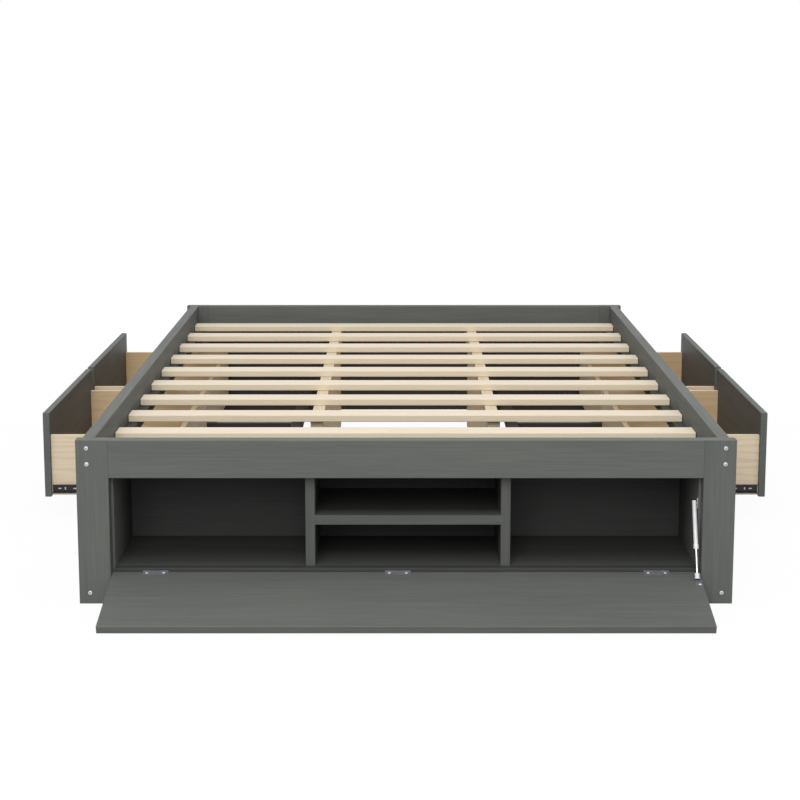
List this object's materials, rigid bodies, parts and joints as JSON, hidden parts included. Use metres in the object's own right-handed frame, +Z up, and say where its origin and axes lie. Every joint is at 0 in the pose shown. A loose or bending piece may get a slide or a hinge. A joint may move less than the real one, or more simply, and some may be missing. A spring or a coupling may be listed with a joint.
{
  "type": "tatami platform bed",
  "caption": "Low grey platform bed with wooden slats, drawers in both long sides on ball slides, and a foot cabinet closed by a drop flap on a sliding stay.",
  "frame": {"origin": "on the floor, midway between the front edge of the open flap and the bolt heads of the head posts, in the middle of the bed's width", "axes": "+X to the right seen from the foot end, +Y from foot to head, +Z up; drawers and flap stand open at rest, as pictured"},
  "size_m": [2.099, 2.3196, 0.414],
  "materials": {
    "grey_paint": "satin grey paint on wood",
    "dark_paint": "matt grey paint on board",
    "pine": "bare planed pine",
    "tan_board": "bare plywood",
    "steel": "zinc plated",
    "white_tube": "white coated tube",
    "black_slide": "black coated steel"
  },
  "bodies": {
    "frame": {"foot_post_left": "grey_paint", "foot_post_right": "grey_paint", "head_post_left": "grey_paint", "head_post_right": "grey_paint", "foot_rail": "grey_paint", "head_rail": "grey_paint", "side_rail_left": "grey_paint", "side_rail_right": "grey_paint", "lower_rail_left": "grey_paint", "lower_rail_right": "grey_paint", "head_board": "dark_paint", "slat_ledgers": "grey_paint", "slats": "pine", "centre_beam_left": "pine", "centre_beam_right": "pine", "beam_panels": "tan_board", "cabinet_floor": "dark_paint", "cabinet_top": "dark_paint", "cabinet_back": "dark_paint", "cabinet_side_left": "dark_paint", "cabinet_side_right": "dark_paint", "partition_left": "dark_paint", "partition_right": "dark_paint", "shelf": "dark_paint", "plinth": "dark_paint", "side_panel_left": "grey_paint", "side_panel_right": "grey_paint", "side_stiles": "grey_paint", "runner_boards": "dark_paint", "inner_bars": "dark_paint", "slide_channels": "black_slide", "corner_bolts": "steel", "hinge_leaves_fixed": "steel", "hinge_pins": "steel", "stay_bracket_upper": "steel"},
    "flap": {"flap": "grey_paint", "hinge_leaves_flap": "steel", "stay_bracket_lower": "steel"},
    "stay_tube": {"stay_tube": "white_tube"},
    "stay_rod": {"stay_rod": "steel"},
    "drawer_foot_left": {"drawer_front_foot_left": "grey_paint", "drawer_box_foot_left": "pine", "drawer_bottom_foot_left": "tan_board", "slide_inner_foot_left": "black_slide"},
    "slide_middle_foot_left": {"slide_middle_foot_left": "black_slide"},
    "drawer_foot_right": {"drawer_front_foot_right": "grey_paint", "drawer_box_foot_right": "pine", "drawer_bottom_foot_right": "tan_board", "slide_inner_foot_right": "black_slide"},
    "slide_middle_foot_right": {"slide_middle_foot_right": "black_slide"},
    "drawer_head_left": {"drawer_front_head_left": "grey_paint", "drawer_box_head_left": "pine", "drawer_bottom_head_left": "tan_board", "slide_inner_head_left": "black_slide"},
    "slide_middle_head_left": {"slide_middle_head_left": "black_slide"},
    "drawer_head_right": {"drawer_front_head_right": "grey_paint", "drawer_box_head_right": "pine", "drawer_bottom_head_right": "tan_board", "slide_inner_head_right": "black_slide"},
    "slide_middle_head_right": {"slide_middle_head_right": "black_slide"}
  },
  "joints": [
    {"name": "flap_hinge", "type": "hinge", "parent": "frame", "child": "flap", "pos_m": [0, -0.92347, 0.0745], "axis": [-1, 0, 0], "range_deg": [0, 103.3]},
    {"name": "stay_foot_pivot", "type": "hinge", "parent": "flap", "child": "stay_rod", "pos_m": [0.715, -0.96759, 0.07856], "axis": [1, 0, 0], "range_deg": [0, 122.05]},
    {"name": "stay_slide", "type": "slide", "parent": "stay_rod", "child": "stay_tube", "axis": [0, -0.3527, -0.9357], "range_m": [0, 0.04931]},
    {"name": "drawer_slide_foot_left", "type": "slide", "parent": "frame", "child": "drawer_foot_left", "axis": [-1, 0, 0], "range_m": [-0.254, 0.096]},
    {"name": "middle_slide_foot_left", "type": "slide", "parent": "frame", "child": "slide_middle_foot_left", "axis": [-1, 0, 0], "range_m": [-0.127, 0.048]},
    {"name": "drawer_slide_foot_right", "type": "slide", "parent": "frame", "child": "drawer_foot_right", "axis": [1, 0, 0], "range_m": [-0.254, 0.096]},
    {"name": "middle_slide_foot_right", "type": "slide", "parent": "frame", "child": "slide_middle_foot_right", "axis": [1, 0, 0], "range_m": [-0.127, 0.048]},
    {"name": "drawer_slide_head_left", "type": "slide", "parent": "frame", "child": "drawer_head_left", "axis": [-1, 0, 0], "range_m": [-0.254, 0.096]},
    {"name": "middle_slide_head_left", "type": "slide", "parent": "frame", "child": "slide_middle_head_left", "axis": [-1, 0, 0], "range_m": [-0.127, 0.048]},
    {"name": "drawer_slide_head_right", "type": "slide", "parent": "frame", "child": "drawer_head_right", "axis": [1, 0, 0], "range_m": [-0.254, 0.096]},
    {"name": "middle_slide_head_right", "type": "slide", "parent": "frame", "child": "slide_middle_head_right", "axis": [1, 0, 0], "range_m": [-0.127, 0.048]}
  ],
  "couplings": [
    {"joint": "stay_foot_pivot", "follows": "flap_hinge", "ratio": 1.1813},
    {"joint": "stay_slide", "follows": "flap_hinge", "m_per_rad": 0.027323},
    {"joint": "middle_slide_foot_left", "follows": "drawer_slide_foot_left", "ratio": 0.5},
    {"joint": "middle_slide_foot_right", "follows": "drawer_slide_foot_right", "ratio": 0.5},
    {"joint": "middle_slide_head_left", "follows": "drawer_slide_head_left", "ratio": 0.5},
    {"joint": "middle_slide_head_right", "follows": "drawer_slide_head_right", "ratio": 0.5}
  ]
}
